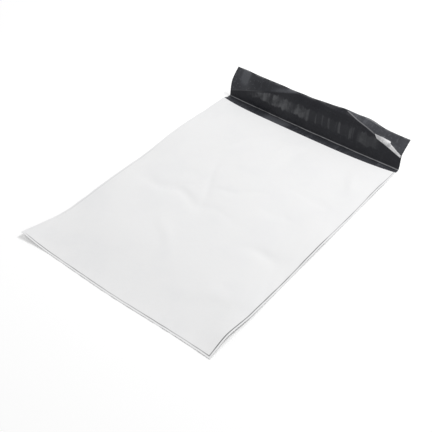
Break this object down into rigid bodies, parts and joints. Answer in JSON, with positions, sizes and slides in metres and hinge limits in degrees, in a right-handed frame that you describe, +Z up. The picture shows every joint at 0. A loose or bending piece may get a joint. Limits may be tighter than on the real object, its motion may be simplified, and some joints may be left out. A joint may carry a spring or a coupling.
{
  "type": "poly mailer bag",
  "caption": "Flat courier bag of polyethylene film with welded edges, an open mouth and a raised closing flap that carries an adhesive strip under a peel-off liner.",
  "frame": {"origin": "middle of the pocket's underside, where the back web lies on the table", "axes": "+X across the bag to the right, +Y from the bottom weld towards the flap, +Z up out of the table"},
  "size_m": [0.232, 0.3425, 0.0353],
  "materials": {
    "film": "satin co-extruded film, white outside and charcoal inside",
    "adhesive": "clear tacky hot melt over the charcoal film",
    "liner": "thin hazy release film, dark where it wets the adhesive and pale where it has lifted"
  },
  "bodies": {
    "root": {"film_bag": "film", "adhesive_band": "adhesive", "release_liner": "liner"}
  },
  "joints": []
}
